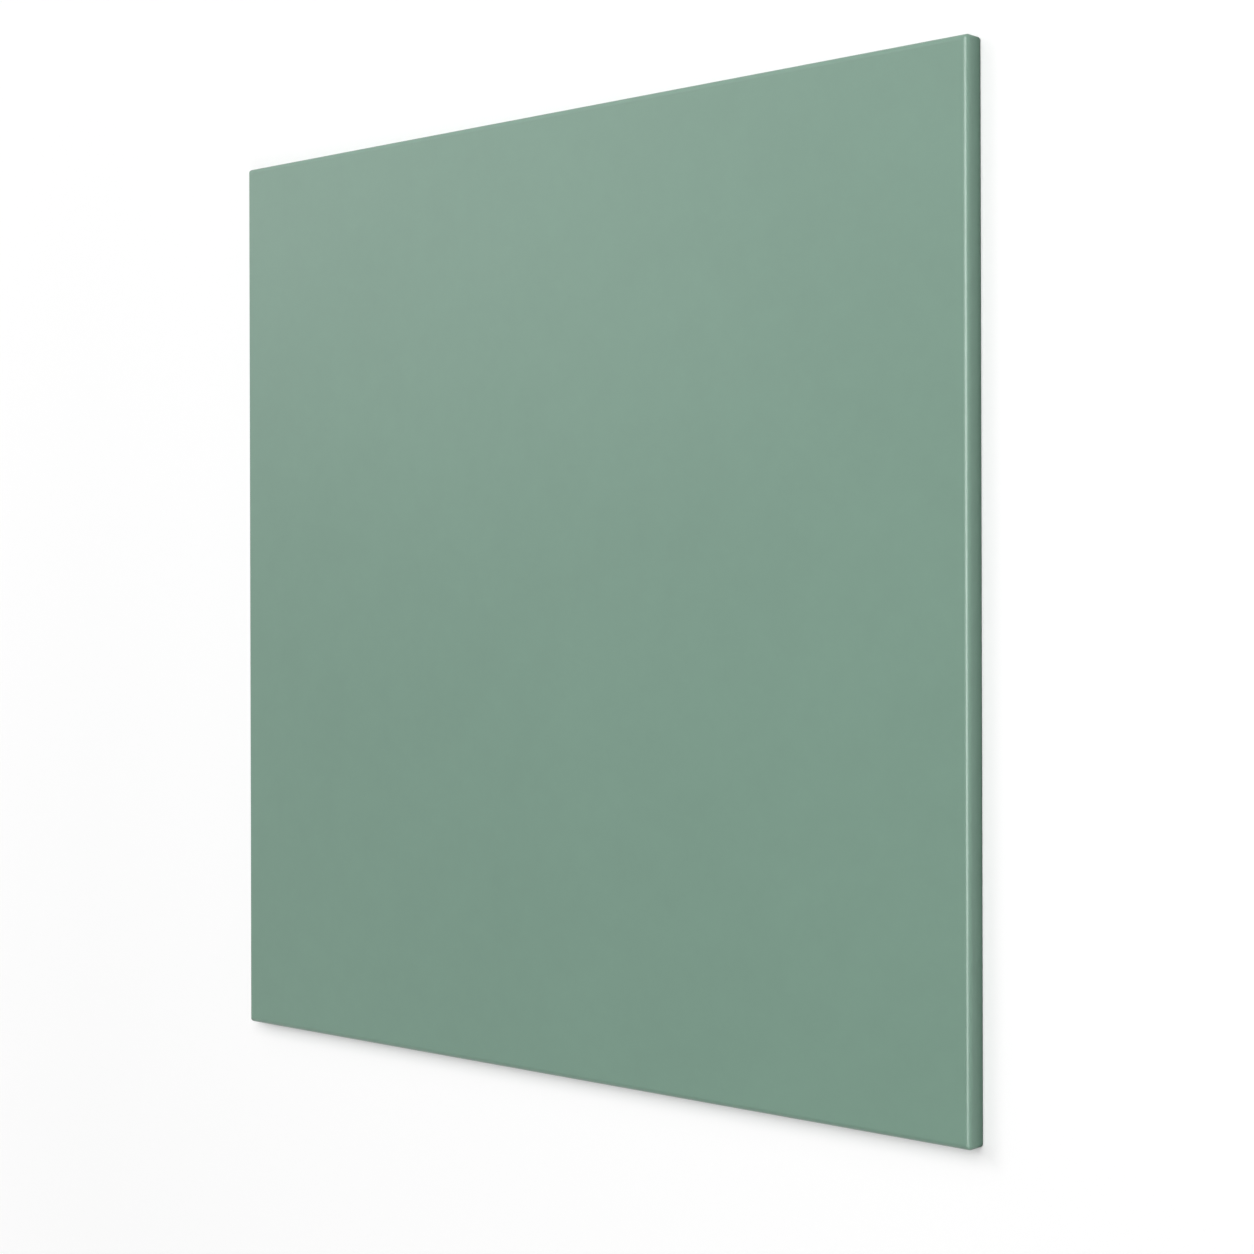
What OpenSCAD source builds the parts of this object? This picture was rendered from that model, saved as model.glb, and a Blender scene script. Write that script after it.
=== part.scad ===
// Aluminium composite panel, cut to size and edged with its own face sheet.
//
// A polymer core is bonded between two aluminium sheets. The face sheet is coated, and it is
// folded down round the core on all four sides, so that no edge shows the core. The folds meet
// in a mitre at each corner, where the flanges are closed and dressed to a small round. The
// backing sheet lies between the folded flanges, flush with their ends.
//
// The panel lies on its back, face up: X is its width, Y its length and Z its thickness. The
// origin is the middle of the back, on the surface that it rests on.

/* [Panel] */
// Width over the folded edges
panel_w = 180; // [60:1:1200]
// Length over the folded edges
panel_l = 180; // [60:1:1200]

/* [Layers] */
// Thickness of the coated face sheet
face_t = 0.5; // [0.3:0.05:0.7]
// Thickness of the polymer core
core_t = 3; // [2:0.5:6]
// Thickness of the backing sheet
backing_t = 0.5; // [0.2:0.05:0.7]

/* [Folded edges] */
// Outside radius of the fold between the face and its flanges
bend_r = 1.1; // [0.8:0.05:1.5]
// Outside radius of the four upright corners, where the flanges meet
corner_r = 0.7; // [0.3:0.05:3]
// Radius that eases the outer edge of the flanges at the back
ease_r = 0.2; // [0.05:0.05:0.25]
// Clearance between the flanges and the layers inside them
edge_gap = 0.1; // [0.05:0.05:0.4]

/* [Hidden] */
$fn = 64;

// How far a cut runs past the surface that it opens
overcut = 1;
// How much flat a slab's border holds inside its rounds
border_flat = 1;
// The sharpest that an upright corner inside the folded sheet gets
sharpest_r = 0.05;

panel_t = face_t + core_t + backing_t;

// The pocket inside the folded face sheet
pocket_w = panel_w - 2 * face_t;
pocket_l = panel_l - 2 * face_t;
pocket_t = panel_t - face_t;
pocket_bend_r = bend_r - face_t;
pocket_corner_r = max(corner_r - face_t, sharpest_r);

// The layers inside the pocket
inner_w = pocket_w - 2 * edge_gap;
inner_l = pocket_l - 2 * edge_gap;

// The waste beside an arris of radius r, whose round is centred on the origin
module arris_waste(r) {
    difference() {
        square(r + overcut);
        circle(r);
    }
}

// The outer part of a slab's section, as wide as reach: its arrises lie at the far end, the
// upper one rounded to top_r and the lower one to bottom_r
module edge_section(reach, thick, top_r, bottom_r) {
    difference() {
        square([reach, thick]);
        if (top_r > 0)
            translate([reach - top_r, thick - top_r]) arris_waste(top_r);
        if (bottom_r > 0)
            translate([reach - bottom_r, bottom_r]) mirror([0, 1]) arris_waste(bottom_r);
    }
}

// A side's edge as seen from above: cut to a mitre at both ends, and stopped where the upright
// corners are turned
module mitred_strip(across, along, border, upright_r) {
    side = across / 2;
    end = along / 2;
    polygon([
        [side - border, border - end],
        [side - upright_r, upright_r - end],
        [side, upright_r - end],
        [side, end - upright_r],
        [side - upright_r, end - upright_r],
        [side - border, end - border]
    ]);
}

// A slab on the plane z = 0 with mitred edges and rounded upright corners: a flat middle, its
// edge section run along each side, and the same section turned round each corner
module slab(wide, long, thick, upright_r, top_r, bottom_r = 0) {
    border = max(upright_r, top_r, bottom_r) + border_flat;
    middle = [wide - 2 * border, long - 2 * border];

    translate([-middle.x / 2, -middle.y / 2, 0]) cube([middle.x, middle.y, thick]);

    for (quarter = [0:3]) {
        across = quarter % 2 == 0 ? wide : long;
        along = quarter % 2 == 0 ? long : wide;
        rotate(90 * quarter) {
            intersection() {
                translate([across / 2 - border, along / 2, 0]) rotate([90, 0, 0])
                    linear_extrude(along) edge_section(border, thick, top_r, bottom_r);
                linear_extrude(thick) mitred_strip(across, along, border, upright_r);
            }
            translate([across / 2 - upright_r, along / 2 - upright_r, 0])
                rotate_extrude(angle = 90) edge_section(upright_r, thick, top_r, bottom_r);
        }
    }
}

// The coated sheet: the face, the folds and the four flanges in one piece
module face_sheet() {
    color("#819D8B") difference() {
        slab(panel_w, panel_l, panel_t, corner_r, bend_r, ease_r);
        translate([0, 0, -overcut])
            slab(pocket_w, pocket_l, pocket_t + overcut, pocket_corner_r, pocket_bend_r);
    }
}

// The core fills the pocket up to the face, and its upper arris clears the inside of the fold
module core() {
    color("#3A3B3C") translate([0, 0, backing_t])
        slab(inner_w, inner_l, core_t, pocket_corner_r, pocket_bend_r);
}

// The backing sheet closes the pocket, flush with the ends of the flanges
module backing_sheet() {
    color("#B9BCBE") slab(inner_w, inner_l, backing_t, pocket_corner_r, 0);
}

face_sheet();
core();
backing_sheet();
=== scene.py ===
"""Looks of an aluminium composite panel that lies face up on a pale floor.

Geometry Nodes make the coated face sheet and the backing sheet. The section of a sheet's edge
runs round the panel, its corners are mitred and rounded, and two flat caps close the sheet. The
core keeps its CAD solid and gets a finish. A floor, soft lamps and a camera make the stage.
Lengths are in metres in the panel's own frame: X is its width, Y its length, Z its thickness.
"""

import math

import bpy
from bpy.props import FloatProperty, FloatVectorProperty, IntProperty, PointerProperty
from bpy.types import Operator, Panel, PropertyGroup
from mathutils import Matrix, Vector


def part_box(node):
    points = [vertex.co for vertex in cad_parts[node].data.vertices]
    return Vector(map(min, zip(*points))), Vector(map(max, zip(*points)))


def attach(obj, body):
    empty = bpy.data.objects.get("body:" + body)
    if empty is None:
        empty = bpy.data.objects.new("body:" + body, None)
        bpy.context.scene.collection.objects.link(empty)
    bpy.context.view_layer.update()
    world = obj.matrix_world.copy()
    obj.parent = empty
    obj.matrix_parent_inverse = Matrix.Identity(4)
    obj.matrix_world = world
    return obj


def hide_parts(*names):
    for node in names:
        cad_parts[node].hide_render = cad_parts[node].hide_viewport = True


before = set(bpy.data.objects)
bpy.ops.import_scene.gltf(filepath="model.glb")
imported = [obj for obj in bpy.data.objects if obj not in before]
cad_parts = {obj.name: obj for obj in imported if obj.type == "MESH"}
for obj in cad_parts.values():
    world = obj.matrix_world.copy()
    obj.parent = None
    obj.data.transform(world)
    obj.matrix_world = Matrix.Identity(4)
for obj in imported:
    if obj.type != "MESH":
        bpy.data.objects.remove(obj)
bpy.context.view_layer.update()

bl_info = {
    "name": "Aluminium Composite Panel",
    "version": (1, 0, 0),
    "blender": (4, 5, 0),
    "location": "3D View > Sidebar > Composite Panel",
    "description": "Builds a coated composite panel with folded edges and its studio",
    "category": "Object",
}

MM = 0.001
BODY = "root"

# An arris that turns by more than this is drawn as an edge and not as a round
SHARP_ANGLE = math.radians(35.0)
# Points nearer than this are one point
MERGE_DISTANCE = 0.001 * MM
# What a sheet's points note: 1 where the coating covers them, and how deep in its edge they lie
COATED = "coated"
DEPTH = "depth"
# A face's note is the mean of its points', and is above this where all of them are coated
ALL_COATED = 0.9
# The ground's brightness passes into the sky's where a direction rises or falls less than this
HORIZON = 0.2

# Sockets of a colour Mix node, which has other sockets of the same names: its share, its first
# and second colour, and its result
MIX_SHARE, MIX_FIRST, MIX_SECOND, MIX_RESULT = 0, 6, 7, 2

# The layers as the frame holds them
FACE_LOW, FACE_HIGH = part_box("face_sheet")
_, CORE_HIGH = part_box("core")
BACK_LOW, BACK_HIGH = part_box("backing_sheet")
PANEL_SIZE = FACE_HIGH - FACE_LOW
BACK_SIZE = BACK_HIGH - BACK_LOW
FACE_T = FACE_HIGH.z - CORE_HIGH.z


# ---- Node trees --------------------------------------------------------------------------


class Value:
    """An output socket whose arithmetic adds Math nodes to its tree."""

    def __init__(self, tree, socket):
        self.tree = tree
        self.socket = socket

    def __add__(self, other):
        return self.tree.math("ADD", self, other)

    def __radd__(self, other):
        return self.tree.math("ADD", other, self)

    def __sub__(self, other):
        return self.tree.math("SUBTRACT", self, other)

    def __rsub__(self, other):
        return self.tree.math("SUBTRACT", other, self)

    def __mul__(self, other):
        return self.tree.math("MULTIPLY", self, other)

    def __rmul__(self, other):
        return self.tree.math("MULTIPLY", other, self)

    def __truediv__(self, other):
        return self.tree.math("DIVIDE", self, other)

    def __rtruediv__(self, other):
        return self.tree.math("DIVIDE", other, self)

    def __neg__(self):
        return self.tree.math("MULTIPLY", self, -1.0)

    def __abs__(self):
        return self.tree.math("ABSOLUTE", self)

    def __lt__(self, other):
        return self.tree.math("LESS_THAN", self, other)

    def __gt__(self, other):
        return self.tree.math("GREATER_THAN", self, other)


class Tree:
    """Adds nodes to the tree of a material or a world, or to a Geometry Nodes group."""

    def __init__(self, tree):
        self.tree = tree

    def fill(self, socket, value):
        """Links a value to a socket, or sets the socket to a plain number, colour or vector."""
        if isinstance(value, Value):
            self.tree.links.new(value.socket, socket)
        elif isinstance(value, (list, tuple)) and any(isinstance(v, Value) for v in value):
            self.tree.links.new(self.vector(*value).socket, socket)
        else:
            socket.default_value = value

    def node(self, kind, settings=None, sockets=None, output=0):
        """A node, with its settings made first and its sockets after them. Gives one output."""
        node = self.tree.nodes.new(kind)
        for name, value in (settings or {}).items():
            setattr(node, name, value)
        for key, value in (sockets or {}).items():
            self.fill(node.inputs[key], value)
        return Value(self, node.outputs[output])

    def math(self, operation, *terms):
        """One Math node."""
        return self.node("ShaderNodeMath", {"operation": operation}, dict(enumerate(terms)))

    def vector(self, x, y, z):
        """A vector put together from three values."""
        return self.node("ShaderNodeCombineXYZ", None, {0: x, 1: y, 2: z})

    def along_axes(self, vector):
        """The values that a vector has along X, Y and Z."""
        along_x = self.node("ShaderNodeSeparateXYZ", None, {0: vector})
        return [Value(self, socket) for socket in along_x.socket.node.outputs]

    def between(self, value, low, high):
        """From 0 where the value is low, evenly, to 1 where it is high."""
        span = {"Value": value, "From Min": low, "From Max": high}
        return self.node("ShaderNodeMapRange", None, span)

    def mix_colours(self, share, first, second):
        """From the first colour where the share is 0 to the second where it is 1."""
        mix = {MIX_SHARE: share, MIX_FIRST: first, MIX_SECOND: second}
        return self.node("ShaderNodeMix", {"data_type": "RGBA"}, mix, output=MIX_RESULT)

    def mix_shaders(self, share, first, second):
        """From the first shader where the share is 0 to the second where it is 1."""
        return self.node("ShaderNodeMixShader", None, {0: share, 1: first, 2: second})


def blend(share, low, high):
    """From low where the share is 0 to high where it is 1."""
    return low + (high - low) * share


# ---- Shapes ------------------------------------------------------------------------------


class Shape(Tree):
    """A Geometry Nodes group that makes one mesh from its named inputs."""

    SOCKETS = {int: "NodeSocketInt", float: "NodeSocketFloat"}

    def __init__(self, name):
        super().__init__(bpy.data.node_groups.new(name, "GeometryNodeTree"))
        self.interface = self.tree.interface
        self.interface.new_socket("Geometry", in_out="OUTPUT", socket_type="NodeSocketGeometry")
        self.entry = self.tree.nodes.new("NodeGroupInput")
        self.inputs = {}

    def input(self, name, value):
        """A named input for a length, a count or a material, and the value it gets."""
        kind = self.SOCKETS.get(type(value), "NodeSocketMaterial")
        socket = self.interface.new_socket(name, in_out="INPUT", socket_type=kind)
        self.inputs[socket.identifier] = value
        return Value(self, self.entry.outputs[name])

    def by_index(self, data_type, choices):
        """For each point, the choice that its index counts to."""
        node = self.tree.nodes.new("GeometryNodeIndexSwitch")
        node.data_type = data_type
        while len(node.index_switch_items) < len(choices):
            node.index_switch_items.new()
        index = self.node("GeometryNodeInputIndex")
        for number, value in enumerate([index, *choices]):
            self.fill(node.inputs[number], value)
        return Value(self, node.outputs[0])

    def coordinates(self):
        """Where each point or edge lies: along X, along Y and in height."""
        return self.along_axes(self.node("GeometryNodeInputPosition"))

    def mark(self, geometry, name, value):
        """The geometry with a value noted on each point under that name."""
        note = {"Geometry": geometry, "Name": name, "Value": value}
        return self.node("GeometryNodeStoreNamedAttribute", None, note)

    def noted(self, name):
        """The value that each point has noted under that name."""
        return self.node("GeometryNodeInputNamedAttribute", None, {"Name": name})

    def join(self, *parts):
        """Several curves or meshes as one geometry."""
        node = self.tree.nodes.new("GeometryNodeJoinGeometry")
        for part in parts:
            self.tree.links.new(part.socket, node.inputs[0])
        return Value(self, node.outputs[0])

    def weld(self, geometry):
        """The geometry with points that lie together made one."""
        seams = {"Geometry": geometry, "Distance": MERGE_DISTANCE}
        return self.node("GeometryNodeMergeByDistance", None, seams)

    def rounded(self, curve, radius, steps):
        """A curve of straight lines with its corners rounded, each in that many steps."""
        sockets = {"Curve": curve, "Count": steps, "Radius": radius, "Limit Radius": True}
        return self.node("GeometryNodeFilletCurve", {"mode": "POLY"}, sockets)

    def sharp_rectangle(self, width, length):
        """A rectangle round the origin."""
        sides = {"Width": width, "Height": length}
        return self.node("GeometryNodeCurvePrimitiveQuadrilateral", None, sides)

    def edge_section(self, section, steps):
        """The section of a sheet's edge as a rounded curve, with its notes on its points."""
        depths, heights, radii, coats = zip(*section)
        places = [self.vector(-depth, -height, 0.0) for depth, height in zip(depths, heights)]
        corners = {"Count": len(places), "Position": self.by_index("VECTOR", places)}
        points = self.node("GeometryNodePoints", None, corners)
        points = self.mark(points, COATED, self.by_index("FLOAT", coats))
        sharp = self.node("GeometryNodePointsToCurves", None, {"Points": points})
        curve = self.rounded(sharp, self.by_index("FLOAT", radii), steps)
        return self.mark(curve, DEPTH, -self.coordinates()[0])

    def sweep(self, path, section):
        """The section run along a level path, upright all the way."""
        upright = self.node("GeometryNodeSetCurveNormal", {"mode": "Z_UP"}, {"Curve": path})
        curves = {"Curve": upright, "Profile Curve": section}
        return self.node("GeometryNodeCurveToMesh", None, curves)

    def mitred(self, rim, width, length, bend, corner):
        """A rim whose corners bend at one radius, drawn out until they have the corner radius.

        Points that lie deeper than the corner radius meet on the diagonals, as folds do.
        """
        x, y, height = self.coordinates()
        past_x = abs(x) - (width * 0.5 - bend)
        past_y = abs(y) - (length * 0.5 - bend)
        out = self.math("SQRT", past_x * past_x + past_y * past_y)
        depth = self.noted(DEPTH)
        inset = self.math("MAXIMUM", corner, depth)
        reach = self.math("MAXIMUM", corner - depth, 0.0) / out
        new_x = self.math("SIGN", x) * (width * 0.5 - inset + past_x * reach)
        new_y = self.math("SIGN", y) * (length * 0.5 - inset + past_y * reach)
        moved = {"Geometry": rim, "Position": (new_x, new_y, height)}
        return self.weld(self.node("GeometryNodeSetPosition", None, moved))

    def cap(self, rim, height, coat, flip=False):
        """A flat face that closes a rim's open edge at one height, coated or not."""
        is_open = self.node("GeometryNodeInputMeshEdgeNeighbors") < 2.0
        is_here = self.math("COMPARE", self.coordinates()[2], height, MERGE_DISTANCE)
        edge = {"Mesh": rim, "Selection": is_open * is_here}
        loop = self.node("GeometryNodeMeshToCurve", None, edge)
        flat = self.node("GeometryNodeFillCurve", {"mode": "NGONS"}, {"Curve": loop})
        if flip:
            flat = self.node("GeometryNodeFlipFaces", None, {"Mesh": flat})
        raised = {"Geometry": flat, "Translation": (0.0, 0.0, height)}
        placed = self.node("GeometryNodeTransform", None, raised)
        return self.mark(placed, COATED, coat)

    def shaded(self, sheet, width, length, corner):
        """The sheet shaded smooth over its rounds and crisp along its arrises and mitres."""
        soft = {"Geometry": sheet, "Shade Smooth": True}
        soft_sheet = self.node("GeometryNodeSetShadeSmooth", {"domain": "FACE"}, soft)
        x, y, _ = self.coordinates()
        off_diagonal = abs(abs(x) - abs(y) - (width - length) * 0.5)
        is_mitre = (off_diagonal < MERGE_DISTANCE) * (abs(x) < width * 0.5 - corner)
        turn = self.node("GeometryNodeInputMeshEdgeAngle")
        is_smooth = (turn < SHARP_ANGLE) * (1.0 - is_mitre)
        crisp = {"Geometry": soft_sheet, "Shade Smooth": is_smooth}
        return self.node("GeometryNodeSetShadeSmooth", {"domain": "EDGE"}, crisp)

    def sheet(self, width, length, corner, section, steps):
        """A closed sheet: the section of its edge runs round a rectangle, and caps close it.

        The section holds the corners from the upper cap, round the outside, to the lower cap.
        Each is (depth inside the edge, height, radius of its round, 1 where it is coated).
        """
        deepest, top, _, top_coat = section[0]
        _, bottom, _, bottom_coat = section[-1]
        # A bend this wide keeps even the deepest points of the section apart
        bend = deepest * 2.0
        path = self.rounded(self.sharp_rectangle(width, length), bend, steps)
        rim = self.sweep(path, self.edge_section(section, steps))
        rim = self.mitred(rim, width, length, bend, corner)
        upper = self.cap(rim, top, top_coat)
        lower = self.cap(rim, bottom, bottom_coat, flip=True)
        closed = self.weld(self.join(rim, upper, lower))
        return self.shaded(closed, width, length, corner)

    def finish(self, geometry, material, coating=None):
        """Ends the group: everything gets the material, and what is coated the coating."""
        real = self.node("GeometryNodeRealizeInstances", None, {0: geometry})
        dressed = {"Geometry": real, "Material": material}
        result = self.node("GeometryNodeSetMaterial", None, dressed)
        if coating is not None:
            is_coated = self.noted(COATED) > ALL_COATED
            dressed = {"Geometry": result, "Selection": is_coated, "Material": coating}
            result = self.node("GeometryNodeSetMaterial", None, dressed)
        leave = self.tree.nodes.new("NodeGroupOutput")
        self.fill(leave.inputs[0], result)

    def make(self, name):
        """The group's result as an object with a plain mesh, its flat faces shaded flat."""
        piece = bpy.data.objects.new(name, bpy.data.meshes.new(name))
        bpy.context.scene.collection.objects.link(piece)
        shape = piece.modifiers.new("Shape", "NODES")
        shape.node_group = self.tree
        for identifier, value in self.inputs.items():
            shape[identifier] = value
        shading = piece.modifiers.new("Shading", "WEIGHTED_NORMAL")
        shading.weight = 100  # large faces outweigh small ones as far as they can
        shading.keep_sharp = True
        ready = piece.evaluated_get(bpy.context.evaluated_depsgraph_get())
        mesh = bpy.data.meshes.new_from_object(ready)
        if mesh.materials[0] is None:  # the slot that an empty mesh starts with
            mesh.materials.pop(index=0)
        piece.modifiers.clear()
        piece.data = mesh
        mesh.name = name
        return piece


def folded_sheet(sizes, metal, coating):
    """The coated face sheet, folded down on all four sides."""
    shape = Shape("Folded face sheet")
    width = shape.input("Width", PANEL_SIZE.x)
    length = shape.input("Length", PANEL_SIZE.y)
    height = shape.input("Height", PANEL_SIZE.z)
    sheet = shape.input("Sheet thickness", FACE_T)
    fold = shape.input("Fold radius", sizes.fold_radius)
    corner = shape.input("Corner radius", sizes.corner_radius)
    ease = shape.input("Ease radius", sizes.ease_radius)
    steps = shape.input("Steps in a round", sizes.steps)
    under_face = height - sheet
    section = [
        (fold, height, 0.0, 1.0),
        (0.0, height, fold, 1.0),
        (0.0, 0.0, ease, 1.0),
        (sheet, 0.0, 0.0, 0.0),
        (sheet, under_face, fold - sheet, 0.0),
        (fold, under_face, 0.0, 0.0),
    ]
    closed = shape.sheet(width, length, corner, section, steps)
    shape.finish(closed, shape.input("Metal", metal), shape.input("Coating", coating))
    return shape.make("folded_face_sheet")


def flat_sheet(sizes, metal):
    """The backing sheet, with sheared edges that are eased a little."""
    shape = Shape("Flat backing sheet")
    width = shape.input("Width", BACK_SIZE.x)
    length = shape.input("Length", BACK_SIZE.y)
    sheet = shape.input("Sheet thickness", BACK_SIZE.z)
    corner = shape.input("Corner radius", sizes.corner_radius - FACE_T)
    ease = shape.input("Ease radius", sizes.shear_radius)
    steps = shape.input("Steps in a round", sizes.steps)
    border = 2.0 * ease
    section = [
        (border, sheet, 0.0, 0.0),
        (0.0, sheet, ease, 0.0),
        (0.0, 0.0, ease, 0.0),
        (border, 0.0, 0.0, 0.0),
    ]
    closed = shape.sheet(width, length, corner, section, steps)
    shape.finish(closed, shape.input("Metal", metal))
    return shape.make("mill_finish_backing_sheet")


def floor_round_panel(stage, sizes, material):
    """A floor that ends where the panel's back rests, so that the back gets light too."""
    shape = Shape("Floor round the panel")
    side = shape.input("Floor side", stage.floor_side)
    width = shape.input("Panel width", PANEL_SIZE.x)
    length = shape.input("Panel length", PANEL_SIZE.y)
    corner = shape.input("Corner radius", sizes.corner_radius)
    ease = shape.input("Ease radius", sizes.ease_radius)
    steps = shape.input("Steps in a round", sizes.steps)
    outside = shape.sharp_rectangle(side, side)
    under_panel = shape.sharp_rectangle(width - 2.0 * ease, length - 2.0 * ease)
    inside = shape.rounded(under_panel, corner - ease, steps)
    floor = shape.node("GeometryNodeFillCurve", None, {"Curve": shape.join(outside, inside)})
    shape.finish(floor, shape.input("Material", material))
    return shape.make("floor")


# ---- Finishes ----------------------------------------------------------------------------


class Finish(Tree):
    """A material whose patterns are laid out in its piece's own coordinates."""

    def __init__(self, name):
        self.material = bpy.data.materials.new(name)
        self.material.use_nodes = True
        super().__init__(self.material.node_tree)
        self.tree.nodes.clear()
        self.place = self.node("ShaderNodeTexCoord", output="Object")

    def pattern(self, grain, detail=2.0, roughness=0.5):
        """Noise from 0 to 1 whose grain has that length along X, Y and Z."""
        scale = tuple(1 / length for length in grain)
        mapping = {"Vector": self.place, "Scale": scale}
        scaled = self.node("ShaderNodeMapping", {"vector_type": "POINT"}, mapping)
        noise = {"Vector": scaled, "Scale": 1.0, "Detail": detail, "Roughness": roughness}
        return self.node("ShaderNodeTexNoise", None, noise)

    def colour(self, base, pattern, depth):
        """A colour that the pattern makes darker or lighter by up to depth of itself."""
        dark = (*(part * (1 - depth) for part in base), 1.0)
        light = (*(part * (1 + depth) for part in base), 1.0)
        return self.mix_colours(pattern, dark, light)

    def relief(self, pattern, height):
        """A bumpy normal whose pattern is that high."""
        bump = {"Strength": 1.0, "Distance": height, "Height": pattern}
        return self.node("ShaderNodeBump", None, bump)

    def surface(self, sockets):
        """The material, made of one Principled shader."""
        return self.end(self.node("ShaderNodeBsdfPrincipled", None, sockets))

    def end(self, shader):
        """The material, made of that shader."""
        leave = self.tree.nodes.new("ShaderNodeOutputMaterial")
        self.fill(leave.inputs["Surface"], shader)
        return self.material


def even(length):
    """The grain of a pattern that is the same every way."""
    return (length, length, length)


def coil_coating(look):
    """Satin paint: nearly even, with faint clouds, a fine mottle and a shallow orange peel."""
    paint = Finish("satin_coil_coating")
    clouds = paint.pattern(grain=even(45 * MM))
    mottle = paint.pattern(grain=even(7 * MM), detail=4.0, roughness=0.7)
    tone = blend(0.6, clouds, mottle)
    matting = paint.pattern(grain=even(14 * MM), detail=3.0)
    peel = paint.pattern(grain=even(1.6 * MM), detail=1.0)
    return paint.surface(
        {
            "Base Color": paint.colour(look.coat_colour, tone, depth=look.coat_variation),
            "Roughness": look.coat_roughness + blend(matting, low=-0.025, high=0.025),
            "Normal": paint.relief(peel, height=look.peel_height),
        }
    )


def sheared_metal(look):
    """The bare cut end of the face sheet, with the short marks of the shear."""
    metal = Finish("sheared_aluminium")
    marks = metal.pattern(grain=even(0.12 * MM))
    return metal.surface(
        {
            "Base Color": metal.colour(look.metal_colour, marks, depth=0.05),
            "Metallic": 1.0,
            "Roughness": blend(marks, low=0.3, high=0.5),
            "Normal": metal.relief(marks, height=0.004 * MM),
        }
    )


def mill_finish(look):
    """Rolled aluminium as it leaves the mill: fine lines along the length of the sheet."""
    metal = Finish("mill_finish_aluminium")
    fine = metal.pattern(grain=(0.16 * MM, 45 * MM, 0.16 * MM), detail=3.0)
    broad = metal.pattern(grain=(1.8 * MM, 160 * MM, 1.8 * MM))
    haze = metal.pattern(grain=even(55 * MM), detail=3.0)
    lines = blend(0.6, fine, broad)
    return metal.surface(
        {
            "Base Color": metal.colour(look.metal_colour, blend(0.3, lines, haze), depth=0.25),
            "Metallic": 1.0,
            "Roughness": blend(blend(0.5, lines, haze), low=0.27, high=0.51),
            "Normal": metal.relief(lines, height=0.003 * MM),
        }
    )


def core_polymer(look):
    """The dark, slightly waxy polymer of the core."""
    polymer = Finish("waxy_dark_polymer")
    flow = polymer.pattern(grain=(6 * MM, 30 * MM, 1.5 * MM), detail=3.0)
    return polymer.surface(
        {
            "Base Color": polymer.colour(look.core_colour, flow, depth=0.15),
            "Roughness": blend(flow, low=0.5, high=0.65),
            "Normal": polymer.relief(flow, height=0.01 * MM),
        }
    )


def grey(level):
    """A grey of that brightness, from black at 0 to white at 1."""
    return (level, level, level, 1.0)


def seen_rays(tree):
    """1 for a ray that shows the surround, straight or in a reflection or through glass."""
    camera, glossy, transmission = (
        tree.node("ShaderNodeLightPath", output=kind)
        for kind in ("Is Camera Ray", "Is Glossy Ray", "Is Transmission Ray")
    )
    return camera + glossy + transmission


def white_floor(stage):
    """White to the camera and in reflections, but dull to other light. It keeps a shadow.

    Within the foot shade round the panel it is painted dark, a painted contact shadow: black to
    other light and in reflections, so that the flanges darken downwards.
    """
    floor = Finish("white_floor")
    x, y, _ = floor.along_axes(floor.place)
    beside = floor.math("MAXIMUM", abs(x) - PANEL_SIZE.x / 2, abs(y) - PANEL_SIZE.y / 2)
    out_of_painted_shadow = floor.between(beside, 0.0, stage.foot_shade)
    out_of_shade = floor.between(beside, stage.shade_start, stage.shade_end)
    near_share = blend(out_of_painted_shadow, stage.foot_glow, stage.floor_glow)
    glow_share = blend(out_of_shade, near_share, 1.0)
    glow = floor.node("ShaderNodeEmission", None, {"Color": grey(1.0), "Strength": stage.white})
    pale = floor.node("ShaderNodeBsdfDiffuse", None, {"Color": grey(1.0)})
    shown = floor.mix_shaders(glow_share, pale, glow)
    # Painted contact shadow: the floor is black right at the panel and reaches its bounce at the
    # foot shade's edge
    dark = floor.node("ShaderNodeBsdfDiffuse", None, {"Color": grey(0.0)})
    bounce = floor.node("ShaderNodeBsdfDiffuse", None, {"Color": grey(stage.floor_bounce)})
    dull = floor.mix_shaders(out_of_painted_shadow, dark, bounce)
    # Within the painted shadow, reflections see the dark floor in place of the white
    is_camera = floor.node("ShaderNodeLightPath", output="Is Camera Ray")
    is_shown = blend(out_of_painted_shadow, is_camera, seen_rays(floor))
    top = floor.mix_shaders(is_shown, dull, shown)
    is_under = floor.node("ShaderNodeNewGeometry", output="Backfacing")
    clear = floor.node("ShaderNodeBsdfTransparent")
    return floor.end(floor.mix_shaders(is_under * is_camera, top, clear))


def studio_world(stage):
    """A white surround as seen, also in reflections, and a dim sky and ground as light."""
    world = bpy.data.worlds.new("studio")
    world.use_nodes = True
    tree = Tree(world.node_tree)
    tree.tree.nodes.clear()
    _, _, rise = tree.along_axes(tree.node("ShaderNodeTexCoord", output="Generated"))
    upward = tree.between(rise, -HORIZON, HORIZON)
    shade = tree.mix_colours(upward, grey(stage.ground_level), grey(stage.sky_level))
    soft = tree.node("ShaderNodeBackground", None, {"Color": shade})
    white = tree.node("ShaderNodeBackground", None, {"Color": grey(1.0)})
    leave = tree.tree.nodes.new("ShaderNodeOutputWorld")
    tree.fill(leave.inputs["Surface"], tree.mix_shaders(seen_rays(tree), soft, white))
    return world


# ---- Settings ----------------------------------------------------------------------------


def length_setting(name, description, default):
    """A property that holds a length."""
    return FloatProperty(
        name=name, description=description, default=default, min=0.0, unit="LENGTH", precision=5
    )


def share_setting(name, description, default):
    """A property that holds a share from 0 to 1."""
    return FloatProperty(
        name=name, description=description, default=default, min=0.0, max=1.0, subtype="FACTOR"
    )


def number_setting(name, description, default):
    """A property that holds a plain number."""
    return FloatProperty(name=name, description=description, default=default, precision=4)


def angle_setting(name, description, degrees):
    """A property that holds an angle."""
    return FloatProperty(
        name=name, description=description, default=math.radians(degrees), subtype="ANGLE"
    )


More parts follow.
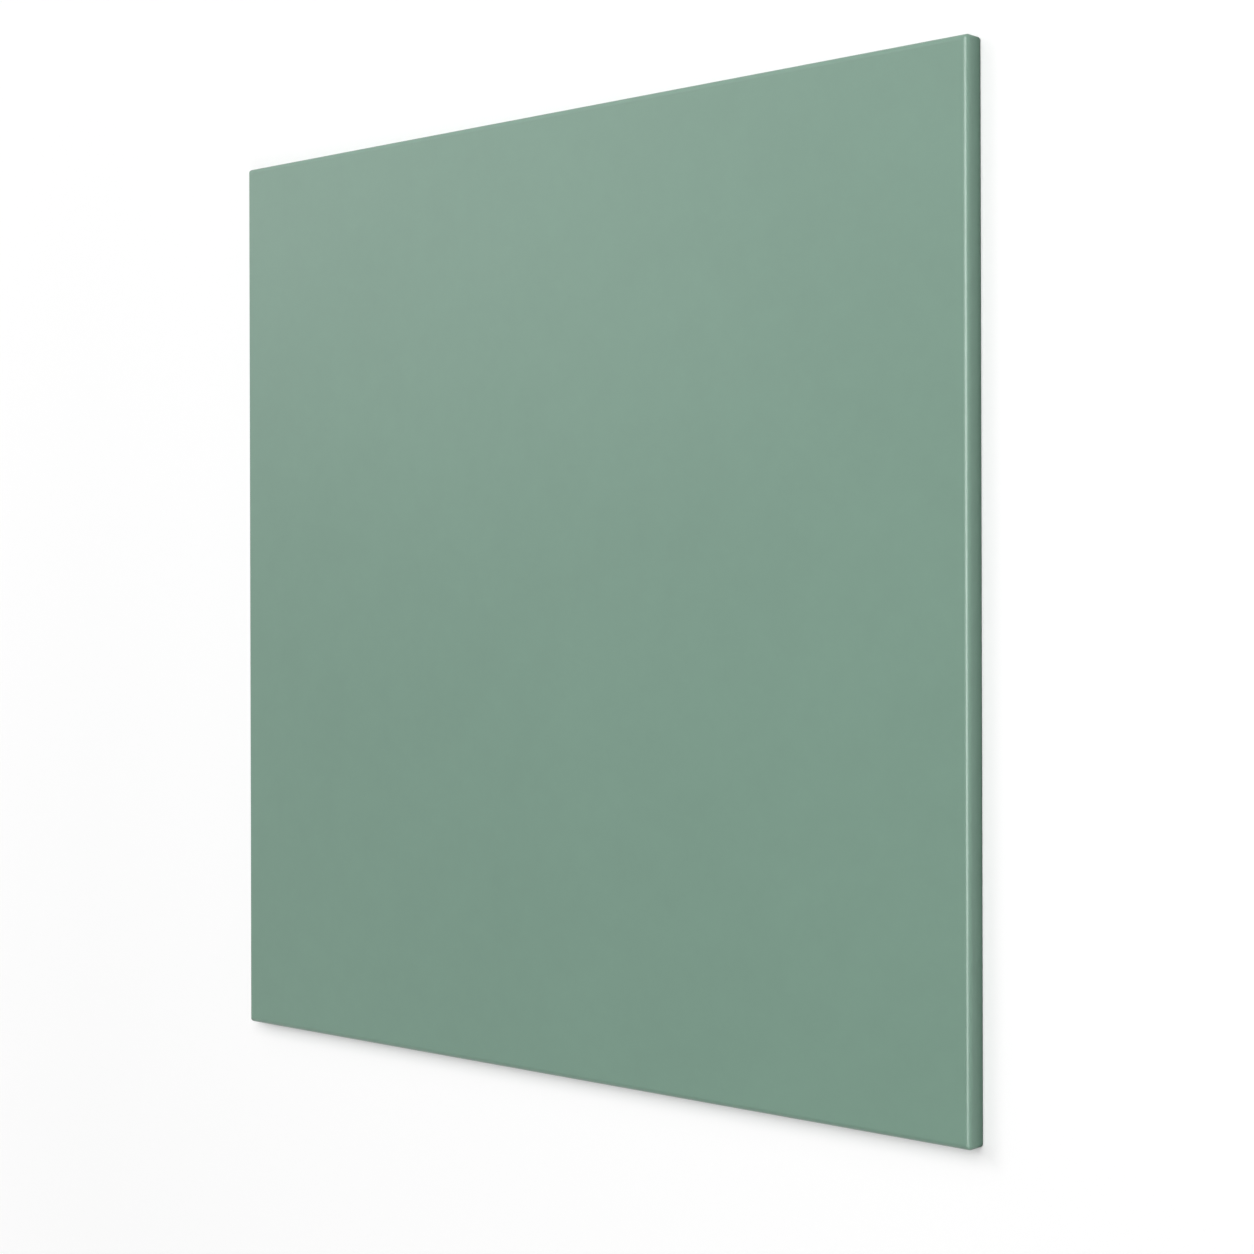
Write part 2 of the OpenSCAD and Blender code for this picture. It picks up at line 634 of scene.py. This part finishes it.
def colour_setting(name, description, default):
    """A property that holds a colour."""
    return FloatVectorProperty(
        name=name, description=description, default=default, size=3, subtype="COLOR", max=1.0
    )


class PanelSizes(PropertyGroup):
    """Sizes of the sheets that the frame's boxes don't give."""

    fold_radius: length_setting("Fold radius", "Outside radius of the fold at the face", 1.1 * MM)
    corner_radius: length_setting("Corner radius", "Radius of the upright corners", 0.7 * MM)
    ease_radius: length_setting("Ease radius", "Round at the outer end of the flanges", 0.2 * MM)
    shear_radius: length_setting("Shear radius", "Round at the backing sheet's edges", 0.06 * MM)
    steps: IntProperty(
        name="Steps", description="Steps that a quarter round is drawn in", default=14, min=3
    )


class PanelLook(PropertyGroup):
    """Colours and finish of the sheets and the core."""

    coat_colour: colour_setting("Coating", "Colour of the coated face", (0.177, 0.302, 0.233))
    coat_variation: share_setting("Coating variation", "Depth of its clouds and mottle", 0.08)
    coat_roughness: share_setting("Coating roughness", "Satin is between 0.3 and 0.4", 0.35)
    peel_height: length_setting("Orange peel", "Height of the paint's orange peel", 0.002 * MM)
    metal_colour: colour_setting("Metal", "Colour of the bare aluminium", (0.66, 0.67, 0.68))
    core_colour: colour_setting("Core", "Colour of the polymer core", (0.035, 0.036, 0.038))


class PanelStage(PropertyGroup):
    """Floor, surround and camera."""

    floor_side: length_setting("Floor side", "Side of the square floor", 6.0)
    floor_glow: share_setting("Floor glow", "Share of its white that no shadow dims", 0.6)
    foot_glow: share_setting("Glow at the foot", "The same right beside the panel", 0.1)
    # The width of the painted contact shadow that the floor gets round the panel
    foot_shade: length_setting("Foot shade", "How far out the panel dulls the floor", 4 * MM)
    shade_start: length_setting("Shade start", "How far out the floor keeps shadow", 60 * MM)
    shade_end: length_setting("Shade end", "From where the floor is plain white", 400 * MM)
    floor_bounce: share_setting("Floor bounce", "How pale the floor is to the panel", 1.0)
    white: number_setting("White", "Brightness of the floor's glow", 1.08)
    sky_level: number_setting("Sky", "Brightness from above", 0.1)
    ground_level: number_setting("Ground", "Brightness from below", 0.4)
    lens: number_setting("Lens", "Focal length in millimetres", 67.576)
    camera_distance: length_setting("Camera distance", "From the camera to its aim", 0.42675)
    camera_tilt: angle_setting("Camera tilt", "Between its view and the face's normal", 41.43)
    camera_roll: angle_setting("Camera roll", "Turn about its view", -0.136)
    camera_shift: number_setting("Camera shift", "Upward shift as a share of the view", -0.0211)
    aim: FloatVectorProperty(
        name="Aim", description="Where the camera looks at the face", size=2,
        default=(0.0168, -0.00125), subtype="TRANSLATION", precision=5,
    )


class PanelSettings(PropertyGroup):
    """All settings of the composite panel."""

    sizes: PointerProperty(type=PanelSizes)
    look: PointerProperty(type=PanelLook)
    stage: PointerProperty(type=PanelStage)


# ---- Pieces and stage --------------------------------------------------------------------


class PANEL_OT_build_face_sheet(Operator):
    """Build the coated face sheet with its folded edges"""

    bl_idname = "composite_panel.build_face_sheet"
    bl_label = "Build Face Sheet"

    def execute(self, context):
        settings = context.scene.composite_panel
        metal = sheared_metal(settings.look)
        coating = coil_coating(settings.look)
        piece = folded_sheet(settings.sizes, metal, coating)
        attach(piece, BODY)
        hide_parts("face_sheet")
        return {"FINISHED"}


class PANEL_OT_build_backing_sheet(Operator):
    """Build the mill-finish sheet at the back"""

    bl_idname = "composite_panel.build_backing_sheet"
    bl_label = "Build Backing Sheet"

    def execute(self, context):
        settings = context.scene.composite_panel
        piece = flat_sheet(settings.sizes, mill_finish(settings.look))
        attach(piece, BODY)
        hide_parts("backing_sheet")
        return {"FINISHED"}


class PANEL_OT_finish_core(Operator):
    """Give the core its polymer finish"""

    bl_idname = "composite_panel.finish_core"
    bl_label = "Finish Core"

    def execute(self, context):
        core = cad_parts["core"]
        core.data.materials.clear()
        core.data.materials.append(core_polymer(context.scene.composite_panel.look))
        return {"FINISHED"}


class PANEL_OT_set_stage(Operator):
    """Make the floor, the surround, the lamps and the camera"""

    bl_idname = "composite_panel.set_stage"
    bl_label = "Set Stage"

    # Each lamp's place, its sides across and up, its power, and whether it only makes sheen
    LAMPS = {
        "window": ((0.00, 1.40, 1.00), (1.8, 0.8), 3.6, False),
        "overhead_softbox": ((0.40, 0.27, 1.00), (1.0, 0.95), 10.0, False),
        "left_softbox": ((-0.98, 0.68, 1.00), (1.2, 0.9), 5.6, False),
        "right_softbox": ((1.20, 0.00, 0.30), (1.2, 0.4), 1.2, False),
        "fold_sheen": ((0.77, 0.00, 1.00), (0.9, 0.52), 12.6, True),
    }
    # The camera shows what lies between these distances
    NEAREST_SEEN = 0.01
    FARTHEST_SEEN = 20.0

    def execute(self, context):
        scene = context.scene
        stage = scene.composite_panel.stage
        floor_round_panel(stage, scene.composite_panel.sizes, white_floor(stage))
        scene.world = studio_world(stage)
        for name, lamp in self.LAMPS.items():
            self.add_lamp(scene, name, *lamp)
        self.add_camera(scene, stage)
        scene.view_settings.view_transform = "Standard"
        return {"FINISHED"}

    def add_lamp(self, scene, name, place, sides, power, only_sheen):
        """A soft rectangular lamp that faces the middle of the panel."""
        light = bpy.data.lights.new(name, "AREA")
        light.shape = "RECTANGLE"
        light.size, light.size_y = sides
        light.energy = power
        lamp = bpy.data.objects.new(name, light)
        lamp.location = place
        lamp.rotation_euler = (-Vector(place)).to_track_quat("-Z", "Y").to_euler()
        lamp.visible_camera = False
        lamp.visible_diffuse = not only_sheen
        scene.collection.objects.link(lamp)

    def add_camera(self, scene, stage):
        """A camera beside the panel's right edge, with the panel's length upright in view."""
        data = bpy.data.cameras.new("camera")
        data.lens = stage.lens
        data.shift_y = stage.camera_shift
        data.clip_start = self.NEAREST_SEEN
        data.clip_end = self.FARTHEST_SEEN
        camera = bpy.data.objects.new("camera", data)
        back = Vector((math.sin(stage.camera_tilt), 0.0, math.cos(stage.camera_tilt)))
        across = Vector((0.0, 1.0, 0.0)).cross(back)
        up = back.cross(across)
        axes = Matrix((across, up, back)).transposed()
        roll = Matrix.Rotation(stage.camera_roll, 3, "Z")
        camera.matrix_world = (axes @ roll).to_4x4()
        camera.location = Vector((*stage.aim, PANEL_SIZE.z)) + back * stage.camera_distance
        scene.collection.objects.link(camera)
        scene.camera = camera


STEPS = (
    PANEL_OT_build_face_sheet,
    PANEL_OT_build_backing_sheet,
    PANEL_OT_finish_core,
    PANEL_OT_set_stage,
)


class PANEL_PT_sidebar(Panel):
    """Lists the steps that build the panel"""

    bl_label = "Composite Panel"
    bl_idname = "PANEL_PT_sidebar"
    bl_space_type = "VIEW_3D"
    bl_region_type = "UI"
    bl_category = "Composite Panel"

    def draw(self, context):
        for step in STEPS:
            self.layout.operator(step.bl_idname)


CLASSES = (PanelSizes, PanelLook, PanelStage, PanelSettings, *STEPS, PANEL_PT_sidebar)


def register():
    """Registers the classes and the scene's settings."""
    for kind in CLASSES:
        bpy.utils.register_class(kind)
    bpy.types.Scene.composite_panel = PointerProperty(type=PanelSettings)


def unregister():
    """Takes the settings and the classes away again."""
    del bpy.types.Scene.composite_panel
    for kind in reversed(CLASSES):
        bpy.utils.unregister_class(kind)


def main():
    """Builds the pieces and the stage."""
    register()
    bpy.ops.composite_panel.build_face_sheet()
    bpy.ops.composite_panel.build_backing_sheet()
    bpy.ops.composite_panel.finish_core()
    bpy.ops.composite_panel.set_stage()


if __name__ == "__main__":
    main()
